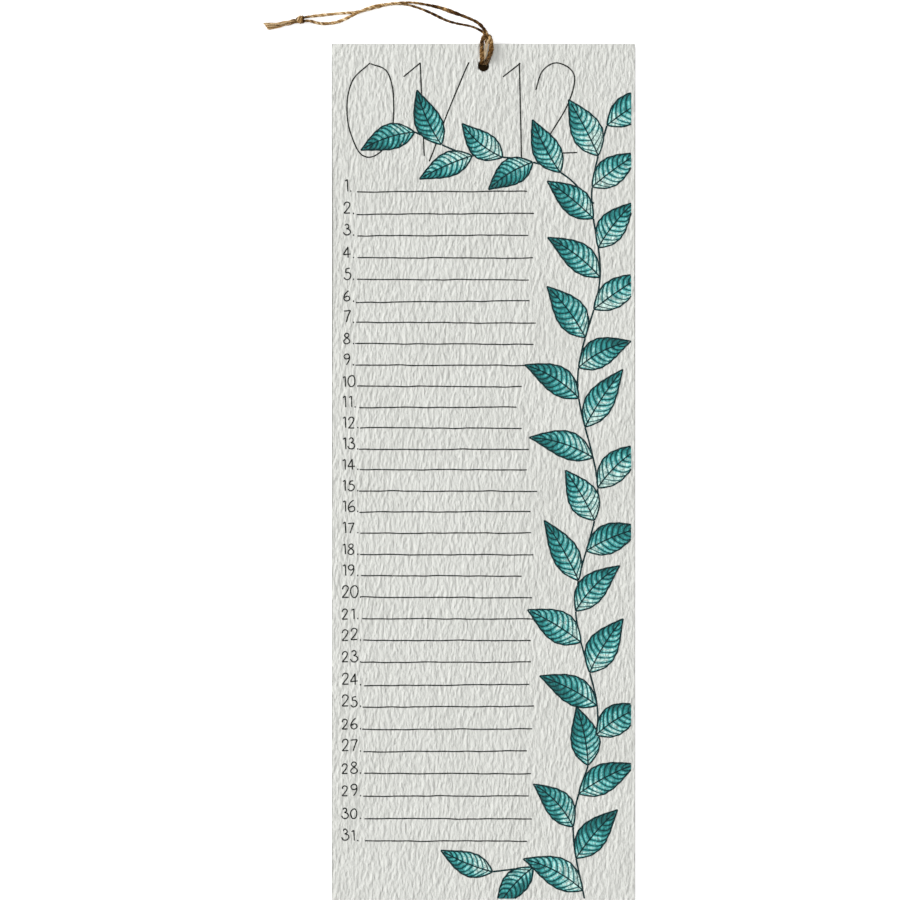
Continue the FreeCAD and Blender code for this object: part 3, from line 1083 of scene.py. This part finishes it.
def make_rules(vine, material):
    """A freehand rule for each day."""
    rng = np.random.default_rng(32)
    strokes = []
    for _, level, start, end in day_rows():
        x = np.linspace(start, end, RULE_POINTS)
        drift = rng.normal(0, RULE_TILT) * np.linspace(-1, 1, RULE_POINTS)
        y = level + drift + RULE_WAVER * unevenness(x - start, rng, RULE_WAVER_LENGTH)
        strokes.append((np.column_stack([x, y]), RULE_WIDTH, vine.leaves))
    return ink_piece("day_rules", strokes, PEN_STEP, material, 33)


def make_day_numbers(material):
    """The numbers 1 to 31, each with its point."""
    rng = np.random.default_rng(34)
    strokes = []
    for day, level, _, _ in day_rows():
        left = DAY_LEFT if day < TWO_FIGURES_FROM else TWO_FIGURE_DAY_LEFT
        for figure in str(day):
            foot = level + rng.normal(DIGIT_RISE_MM, DIGIT_RISE_STRAY_MM) * MM
            height = DIGIT_HEIGHT * rng.uniform(*DIGIT_HEIGHT_STRAY)
            for line in figure_strokes(figure, left, foot, height, rng, DIGIT_WIDTH):
                strokes.append((line, DIGIT_STROKE, []))
            left += ONE_ADVANCE if figure == "1" else DIGIT_ADVANCE
        point = figure_strokes(".", left + POINT_GAP, level, DIGIT_HEIGHT, rng)[0]
        strokes.append((point, POINT_STROKE, []))
    return ink_piece("day_numbers", strokes, PEN_STEP, material, 35)


def make_month_numbers(vine, material):
    """Tall thin figures at the head: the month's number and how many months there are."""
    rng = np.random.default_rng(36)
    strokes = []
    for figure, left in zip(MONTH_TEXT, MONTH_LEFTS_MM):
        for line in figure_strokes(figure, left * MM, MONTH_FOOT, MONTH_HEIGHT, rng):
            wander = MONTH_WAVER * unevenness(distances(line), rng, MONTH_WAVER_LENGTH)
            line = line + wander[:, None] * (0.7, 0.3)
            strokes.append((line, MONTH_STROKE, vine.leaves))
    return ink_piece("month_numbers", strokes, PEN_STEP, material, 37)


# ---------------- vine ----------------


class VineLeaf:
    """One leaf of the printed vine, in plan."""

    def __init__(self, base, heading, length, half_width, bow, tone):
        self.base = np.asarray(base, float)
        self.ahead = np.array([math.cos(heading), math.sin(heading)])
        self.beside = np.array([-self.ahead[1], self.ahead[0]])
        self.length = length
        self.half_width = half_width
        self.bow = bow
        self.tone = tone

    def half_at(self, share):
        """Half the leaf's width at a share of its length: full near its base, pointed ahead."""
        return self.half_width * share * (1 - share) * (5.6 - 3.4 * share)

    def place(self, share, across):
        """The point at a share of the length and a distance beside the midrib."""
        share = np.asarray(share, float)
        bowed = across + 4 * self.bow * share * (1 - share)
        along = self.ahead * (share * self.length)[:, None]
        return self.base + along + self.beside * bowed[:, None]

    def local(self, x, y):
        """Share of the length and distance beside the midrib, of places on the sheet."""
        dx = x - self.base[0]
        dy = y - self.base[1]
        share = (dx * self.ahead[0] + dy * self.ahead[1]) / self.length
        held = np.clip(share, 0, 1)
        across = dx * self.beside[0] + dy * self.beside[1] - 4 * self.bow * held * (1 - held)
        return share, across

    def edge_distance(self, x, y):
        """How far a place lies outside the leaf's outline: negative inside."""
        share, across = self.local(x, y)
        held = np.clip(share, 0, 1)
        past = np.abs(share - held) * self.length
        return np.hypot(np.abs(across), past) - self.half_at(held)

    def outline(self):
        """The leaf's edge, from its base to its tip and back, a little toothed."""
        share = np.linspace(0, 1, 40)
        tooth = 1 + 0.02 * np.sin(share * 40)
        upper = self.place(share, self.half_at(share) * tooth)
        lower = self.place(share, -self.half_at(share) * tooth)
        return [upper, lower]

    def midrib(self):
        """The leaf's middle line, nearly to its tip."""
        share = np.linspace(0, 0.93, 20)
        return self.place(share, 0.0 * share)

    def veins(self):
        """Side veins that curve forward from the midrib nearly to the edge."""
        lines = []
        run = np.linspace(0, 1, 10)
        for number in range(VEINS_A_SIDE):
            share = FIRST_VEIN + number * VEIN_STEP + VEIN_FORWARD * run**VEIN_BEND
            for side in (-1, 1):
                across = side * VEIN_REACH * self.half_at(share) * np.sin(run * np.pi / 2)
                lines.append(self.place(share, across))
        return lines

    def panel(self, share, across):
        """Counts the side veins up the leaf: a whole number on a vein, a half between two."""
        run = np.arcsin(np.clip(np.abs(across) / VEIN_REACH, 0, 1)) * 2 / np.pi
        return (share - VEIN_FORWARD * run**VEIN_BEND - FIRST_VEIN) / VEIN_STEP


class Vine:
    """The printed vine: stems and the leaves along them."""

    def __init__(self):
        self.rng = np.random.default_rng(50)
        self.stems = []
        self.leaves = []

    def grow(self, points, first, spacing, scale, side=1, lean_deg=48):
        """A stem through the points, with leaves by turns on its two sides."""
        stem = even_line(smooth_line(np.array(points) * MM), VINE_STEM_STEP)
        self.stems.append(stem)
        along = distances(stem)
        place = first * MM
        while place < along[-1] - VINE_TIP:
            k = int(np.searchsorted(along, place))
            ahead = stem[min(k + 2, len(stem) - 1)] - stem[max(k - 2, 0)]
            lean_here = lean_deg + self.rng.normal(0, VINE_LEAF_LEAN_STRAY_DEG)
            lean = math.radians(lean_here) * side
            heading = math.atan2(ahead[1], ahead[0]) + lean
            length = VINE_LEAF_LENGTH * scale * self.rng.uniform(*VINE_LEAF_LENGTH_STRAY)
            half_width = VINE_LEAF_HALF_WIDTH * scale * self.rng.uniform(*VINE_LEAF_WIDTH_STRAY)
            bow = -side * self.rng.uniform(*VINE_LEAF_BOW_MM) * MM
            tone = self.rng.uniform(0, 1)
            self.leaves.append(VineLeaf(stem[k], heading, length, half_width, bow, tone))
            place += spacing * MM * self.rng.uniform(*VINE_LEAF_SPACING_STRAY)
            side = -side


def grow_vine():
    """A climbing stem at the right, a branch across the head and a shoot at the foot."""
    vine = Vine()
    vine.grow(
        [(50, -212), (44, -170), (56, -120), (45, -65), (56, -10), (46, 45), (57, 95), (53, 138),
         (63, 180)],
        first=8, spacing=15.6, scale=0.91,
    )
    vine.grow(
        [(54, 132), (38, 147), (16, 154), (-8, 156), (-36, 168)],
        first=22, spacing=15, scale=0.8, side=-1, lean_deg=42,
    )
    vine.grow([(47, -200), (30, -193), (-4, -196)], first=24, spacing=19, scale=0.8, lean_deg=38)
    return vine


def vine_wash(vine, x, y):
    """What the paper's material reads: how far inside a leaf a place is, and where on the leaf."""
    edge = np.full(len(x), 1.0)
    on_leaf = np.zeros((4, len(x)))
    for leaf in vine.leaves:
        distance = leaf.edge_distance(x, y)
        share, beside = leaf.local(x, y)
        across = beside / np.maximum(leaf.half_at(np.clip(share, 0, 1)), 0.5 * MM)
        tone = np.full(len(x), leaf.tone)
        nearer = distance < np.maximum(edge, 0.0)
        on_leaf = np.where(nearer, [share, across, tone, leaf.panel(share, across)], on_leaf)
        edge = np.minimum(edge, distance)
    edge = np.maximum(edge, x - PRINT_RIGHT)
    edge = np.maximum(edge, PRINT_FOOT - y)
    labels = ("wash_along", "wash_across", "wash_tone", "wash_panel")
    return {"wash_edge": edge / MM, **dict(zip(labels, on_leaf))}


def make_vine_ink(vine, material):
    """The vine's outlines, midribs, side veins and stems."""
    heavy = []
    fine = []
    for k, leaf in enumerate(vine.leaves):
        over = vine.leaves[k + 1 :]
        for line in leaf.outline():
            heavy.append((line, VINE_OUTLINE, over))
        heavy.append((leaf.midrib(), VINE_MIDRIB, over))
        for line in leaf.veins():
            fine.append((line, VINE_VEIN, over))
    for stem in vine.stems:
        heavy.append((stem, VINE_STEM, vine.leaves))
    ink_piece("vine_outlines", heavy, OUTLINE_STEP, material, 51)
    ink_piece("vine_veins", fine, VEIN_STROKE_STEP, material, 52)


# ---------------- materials ----------------


def srgb(red, green, blue):
    """A colour given in the usual 0-255 steps."""
    channels = []
    for step in (red, green, blue):
        c = step / 255
        channels.append(c / 12.92 if c <= 0.04045 else ((c + 0.055) / 1.055) ** 2.4)
    return (*channels, 1.0)


PAPER_COLOUR = srgb(215, 216, 211)
PAPER_SHADE = (0.93, 0.93, 0.925, 1.0)
PAPER_CLOUD = 0.5
PEN_COLOUR = srgb(19, 21, 19)
TEAL_INK_COLOUR = srgb(0, 38, 41)
WASH_STOPS = [
    (0.0, srgb(206, 234, 226)),
    (0.15, srgb(141, 211, 207)),
    (0.32, srgb(58, 166, 165)),
    (0.54, srgb(4, 114, 114)),
    (0.85, srgb(0, 80, 80)),
]
WASH_NET_COLOUR = srgb(4, 68, 69)
JUTE_STOPS = [
    (0.0, srgb(45, 26, 10)),
    (0.25, srgb(94, 64, 29)),
    (0.5, srgb(151, 115, 70)),
    (0.75, srgb(203, 168, 117)),
    (1.0, srgb(243, 221, 184)),
]
PAPER_GLOSS = 0.12
INK_GLOSS = 0.1
JUTE_GLOSS = 0.08
JUTE_FINENESS = 2.4
PAPER_BUMP = 0.52 * MM
FIBRE_BUMP = 0.12 * MM
# How much the tip, the paper's bloom, the leaf's own tone and its veins deepen the wash.
TIP_WASH = 0.62
BLOOM_WASH = 0.9
LEAF_WASH = 0.26
VEIN_WASH = 0.17
# How much one side of the midrib, and both edges, deepen it.
SIDE_WASH = 0.14
RIM_WASH = 0.2


class Nodes:
    """Shorthand for a node tree."""

    def __init__(self, tree):
        self.tree = tree

    def add(self, kind, **settings):
        """A new node with its settings."""
        node = self.tree.nodes.new(kind)
        for key, value in settings.items():
            setattr(node, key, value)
        return node

    def give(self, socket, value):
        """Sets an input to a number or colour, or joins an output to it."""
        if hasattr(value, "is_output"):
            self.tree.links.new(value, socket)
        else:
            socket.default_value = value

    def fill(self, node, **values):
        """Sets or joins several inputs; a space in an input's name is written _ here."""
        for label, value in values.items():
            self.give(node.inputs[label.replace("_", " ")], value)

    def math(self, operation, *values):
        """A maths node; each value is a number or an output."""
        node = self.add("ShaderNodeMath", operation=operation)
        for socket, value in zip(node.inputs, values):
            self.give(socket, value)
        return node.outputs[0]

    def mix(self, share, first, second, blend="MIX"):
        """A colour mix; share, first and second are values or outputs."""
        node = self.add("ShaderNodeMix", data_type="RGBA", blend_type=blend)
        for number, value in ((0, share), (6, first), (7, second)):
            self.give(node.inputs[number], value)
        return node.outputs[2]

    def place(self):
        """Where a point lies on its piece."""
        return self.add("ShaderNodeTexCoord").outputs["Object"]

    def read(self, label, output="Fac"):
        """A value that the mesh holds at its points."""
        return self.add("ShaderNodeAttribute", attribute_name=label).outputs[output]

    def noise(self, place, scale, detail=3.0, roughness=0.55):
        """Soft noise from 0 to 1."""
        node = self.add("ShaderNodeTexNoise")
        self.fill(node, Vector=place, Scale=scale, Detail=detail, Roughness=roughness)
        return node.outputs["Fac"]

    def ramp(self, value, stops):
        """A colour ramp: stops are (place, colour)."""
        node = self.add("ShaderNodeValToRGB")
        steps = node.color_ramp.elements
        while len(steps) < len(stops):
            steps.new(0.5)
        for step, (place, colour) in zip(steps, stops):
            step.position = place
            step.color = colour
        self.fill(node, Fac=value)
        return node.outputs["Color"]

    def eased(self, value, low, high, to_low=0.0, to_high=1.0):
        """Goes smoothly from to_low to to_high while the value goes from low to high."""
        node = self.add("ShaderNodeMapRange", interpolation_type="SMOOTHSTEP")
        self.fill(node, Value=value, From_Min=low, From_Max=high, To_Min=to_low, To_Max=to_high)
        return node.outputs["Result"]

    def stretched(self, place, scale):
        """The place, multiplied along each axis."""
        node = self.add("ShaderNodeVectorMath", operation="MULTIPLY")
        self.give(node.inputs[0], place)
        self.give(node.inputs[1], scale)
        return node.outputs["Vector"]

    def seen(self):
        """1 for what the camera looks at, straight or in a reflection."""
        path = self.add("ShaderNodeLightPath").outputs
        straight = self.math("MAXIMUM", path["Is Camera Ray"], path["Is Glossy Ray"])
        return self.math("MAXIMUM", straight, path["Is Transmission Ray"])


def new_group(name, inputs, outputs):
    """A node group with named sockets.  Returns it, its nodes, what it is given and its end."""
    group = bpy.data.node_groups.new(name, "ShaderNodeTree")
    for way, sockets in (("INPUT", inputs), ("OUTPUT", outputs)):
        for label, kind in sockets.items():
            group.interface.new_socket(name=label, in_out=way, socket_type="NodeSocket" + kind)
    nodes = Nodes(group)
    return group, nodes, nodes.add("NodeGroupInput").outputs, nodes.add("NodeGroupOutput")


def felt_paper_group():
    """Cotton paper: faint cloudiness, flecks and a fine tooth between the felt marks."""
    group, nodes, given, made = new_group(
        "felt paper",
        {"Paper": "Color", "Cloud": "Float"},
        {"Color": "Color", "Height": "Float", "Roughness": "Float"},
    )
    place = nodes.place()
    cloud = nodes.noise(place, 45.0, detail=4.0)
    fleck = nodes.noise(nodes.stretched(place, (1.0, 0.45, 1.0)), 2600.0, detail=2.0)
    tooth = nodes.noise(nodes.stretched(place, (1.0, 0.4, 1.0)), 1000.0, roughness=0.6)
    darker = nodes.mix(1.0, given["Paper"], PAPER_SHADE, "MULTIPLY")
    cloudy = nodes.math("MULTIPLY", nodes.eased(cloud, 0.38, 0.66), given["Cloud"])
    tone = nodes.mix(cloudy, given["Paper"], darker)
    flecked = nodes.mix(nodes.eased(fleck, 0.3, 0.12, 0.0, 0.25), tone, darker)
    felt = nodes.noise(nodes.stretched(place, (1.0, 0.38, 1.0)), 560.0, detail=1.0)
    height = nodes.math("MULTIPLY_ADD", fleck, 0.3, tooth)
    height = nodes.math("MULTIPLY_ADD", felt, 2.0, height)
    roughness = nodes.eased(tooth, 0.3, 0.7, 0.82, 0.95)
    nodes.fill(made, Color=flecked, Height=height, Roughness=roughness)
    return group


def fibre_group():
    """Jute: streaks along the fibres, from dark brown to straw."""
    group, nodes, given, made = new_group(
        "jute fibre", {"Fineness": "Float"}, {"Color": "Color", "Height": "Float"}
    )
    place = nodes.read("fibre_place", "Vector")
    long_place = nodes.stretched(place, (1.0, 1.0, 0.22))
    streak = nodes.noise(long_place, given["Fineness"], detail=4.0, roughness=0.5)
    patch = nodes.noise(place, 0.9, detail=2.0)
    value = nodes.read("fibre_tone_and_painted_shading")
    for change, weight in ((streak, 1.5), (patch, 1.0)):
        value = nodes.math("MULTIPLY_ADD", nodes.math("SUBTRACT", change, 0.5), weight, value)
    nodes.fill(made, Color=nodes.ramp(value, JUTE_STOPS), Height=streak)
    return group


def new_material(name, gloss):
    """A material with only its Principled shader and output."""
    material = bpy.data.materials.new(name)
    material.use_nodes = True
    nodes = Nodes(material.node_tree)
    shader = material.node_tree.nodes["Principled BSDF"]
    nodes.fill(shader, Specular_IOR_Level=gloss)
    return material, nodes, shader


def bumped(nodes, shader, height, distance, strength=1.0):
    """Lets a height stand out of the surface in the light."""
    bump = nodes.add("ShaderNodeBump")
    nodes.fill(bump, Height=height, Distance=distance, Strength=strength)
    nodes.fill(shader, Normal=bump.outputs["Normal"])


def paper_material(name, group):
    """Uncoated paper.  Returns its nodes and its colour too, so that print can go over it."""
    material, nodes, shader = new_material(name, PAPER_GLOSS)
    paper = nodes.add("ShaderNodeGroup", node_tree=group)
    nodes.fill(paper, Paper=PAPER_COLOUR, Cloud=PAPER_CLOUD)
    made = paper.outputs
    nodes.fill(shader, Base_Color=made["Color"], Roughness=made["Roughness"])
    bumped(nodes, shader, made["Height"], PAPER_BUMP)
    return material, nodes, shader, made["Color"]


def printed_paper_material(group):
    """The front leaf: paper with the vine leaves' watercolour washes."""
    material, nodes, shader, paper = paper_material("printed_paper", group)
    place = nodes.place()
    along = nodes.read("wash_along")
    across = nodes.read("wash_across")
    bloom = nodes.noise(place, 210.0, detail=4.0, roughness=0.6)
    by_vein = nodes.math("COSINE", nodes.math("MULTIPLY", nodes.read("wash_panel"), 2 * math.pi))
    to_rim = nodes.math("POWER", nodes.math("ABSOLUTE", across), 3.0)
    depth = nodes.math("MULTIPLY_ADD", across, SIDE_WASH, nodes.math("MULTIPLY", to_rim, RIM_WASH))
    for change, weight in (
        (along, TIP_WASH),
        (nodes.math("SUBTRACT", bloom, 0.5), BLOOM_WASH),
        (nodes.math("SUBTRACT", nodes.read("wash_tone"), 0.5), LEAF_WASH),
        (by_vein, VEIN_WASH),
    ):
        depth = nodes.math("MULTIPLY_ADD", change, weight, depth)
    # A fine net where the pigment dried.
    cells = nodes.add("ShaderNodeTexVoronoi", feature="DISTANCE_TO_EDGE")
    nodes.fill(cells, Vector=place, Scale=430.0)
    net = nodes.eased(cells.outputs["Distance"], 0.1, 0.04, 0.0, 0.5)
    wash = nodes.mix(net, nodes.ramp(depth, WASH_STOPS), WASH_NET_COLOUR)
    inside = nodes.eased(nodes.read("wash_edge"), 0.12, -0.08, 0.0, 0.97)
    nodes.fill(shader, Base_Color=nodes.mix(inside, paper, wash))
    return material


def ink_material(name, colour):
    """Pen ink dried into the paper, thinner where the paper's tooth stands up."""
    material, nodes, shader = new_material(name, INK_GLOSS)
    worn = nodes.noise(nodes.place(), 1500.0)
    lighter = tuple(0.88 * c + 0.12 * p for c, p in zip(colour, PAPER_COLOUR))
    tone = nodes.mix(nodes.eased(worn, 0.5, 0.8), colour, lighter)
    nodes.fill(shader, Base_Color=tone, Roughness=nodes.eased(worn, 0.3, 0.7, 0.6, 0.8))
    return material


def jute_material(group):
    """Twisted jute, matt and hairy."""
    material, nodes, shader = new_material("jute", JUTE_GLOSS)
    fibre = nodes.add("ShaderNodeGroup", node_tree=group)
    nodes.fill(fibre, Fineness=JUTE_FINENESS)
    nodes.fill(shader, Base_Color=fibre.outputs["Color"], Roughness=0.85)
    bumped(nodes, shader, fibre.outputs["Height"], FIBRE_BUMP, 0.6)
    return material


# ---------------- stage ----------------


def make_floor():
    """A plain white table.  It looks white to the camera and keeps the calendar's shadow.

    It glows only outside the leaves, and has a dark patch of painted shade where the punched hole
    looks down on it.
    """
    material, nodes, shader = new_material("table", gloss=0.0)
    place = nodes.place()
    split = nodes.add("ShaderNodeSeparateXYZ")
    nodes.fill(split, Vector=place)
    outside = nodes.math(
        "MAXIMUM",
        nodes.math("SUBTRACT", nodes.math("ABSOLUTE", split.outputs["X"]), SHEET_WIDTH / 2),
        nodes.math("SUBTRACT", nodes.math("ABSOLUTE", split.outputs["Y"]), SHEET_LENGTH / 2),
    )
    clear = nodes.eased(outside, *GLOW_STARTS)
    glow = nodes.math("MULTIPLY", nodes.math("MULTIPLY", nodes.seen(), clear), TABLE_GLOW)
    # A dark patch of painted shade on the table under the punched hole.
    from_hole = nodes.add("ShaderNodeVectorMath", operation="DISTANCE")
    nodes.give(from_hole.inputs[0], place)
    nodes.give(from_hole.inputs[1], (0.0, HOLE_Y, 0.0))
    clear_of_hole_shade = nodes.eased(from_hole.outputs["Value"], *HOLE_PAINTED_SHADE_REACH)
    cover = nodes.mix(clear_of_hole_shade, HOLE_PAINTED_SHADE_COLOUR, TABLE_COLOUR)
    nodes.fill(shader, Base_Color=cover, Roughness=0.9)
    nodes.fill(shader, Emission_Color=WHITE, Emission_Strength=glow)
    corners = [(x * TABLE_HALF, y * TABLE_HALF, 0) for x, y in ((-1, -1), (1, -1), (1, 1), (-1, 1))]
    mesh = bpy.data.meshes.new("table_top")
    mesh.from_pydata(corners, [], [(0, 1, 2, 3)])
    mesh.materials.append(material)
    table = placed("table_top", mesh)


def add_lamp(name, place, size, power):
    """A square lamp that shines on the calendar."""
    lamp = bpy.data.lights.new(name, "AREA")
    lamp.shape = "SQUARE"
    lamp.size = size
    lamp.energy = power
    piece = placed(name, lamp)
    piece.location = place
    piece.rotation_euler = (-Vector(place)).to_track_quat("-Z", "Y").to_euler()


def make_light():
    """A soft window light from the upper left, a bright ceiling and an even room."""
    world = bpy.data.worlds.new("room")
    bpy.context.scene.world = world
    world.use_nodes = True
    nodes = Nodes(world.node_tree)
    room = world.node_tree.nodes["Background"]
    level = nodes.math("MULTIPLY_ADD", nodes.seen(), 1.0 - ROOM_LEVEL, ROOM_LEVEL)
    nodes.fill(room, Color=WHITE, Strength=level)
    add_lamp("window", WINDOW_PLACE, WINDOW_SIZE, WINDOW_POWER)
    add_lamp("ceiling", CEILING_PLACE, CEILING_SIZE, CEILING_POWER)


# ---------------- the calendar ----------------

bpy.context.scene.view_settings.view_transform = "Standard"
make_camera()
make_twine(jute_material(fibre_group()))

paper_group = felt_paper_group()
plain_paper = paper_material("felt_paper", paper_group)[0]
vine = grow_vine()
front_leaf = make_front_leaf(vine, printed_paper_material(paper_group))
inner_leaves = [make_inner_leaf(number, plain_paper) for number in range(1, LEAF_COUNT - 1)]
back_leaf = make_back_leaf(plain_paper)
for leaf_piece in [front_leaf, back_leaf, *inner_leaves]:
    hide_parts("month_sheets")

pen_ink = ink_material("pen_ink", PEN_COLOUR)
teal_ink = ink_material("teal_ink", TEAL_INK_COLOUR)
make_rules(vine, pen_ink)
make_day_numbers(pen_ink)
make_month_numbers(vine, pen_ink)
make_vine_ink(vine, teal_ink)

make_floor()
make_light()
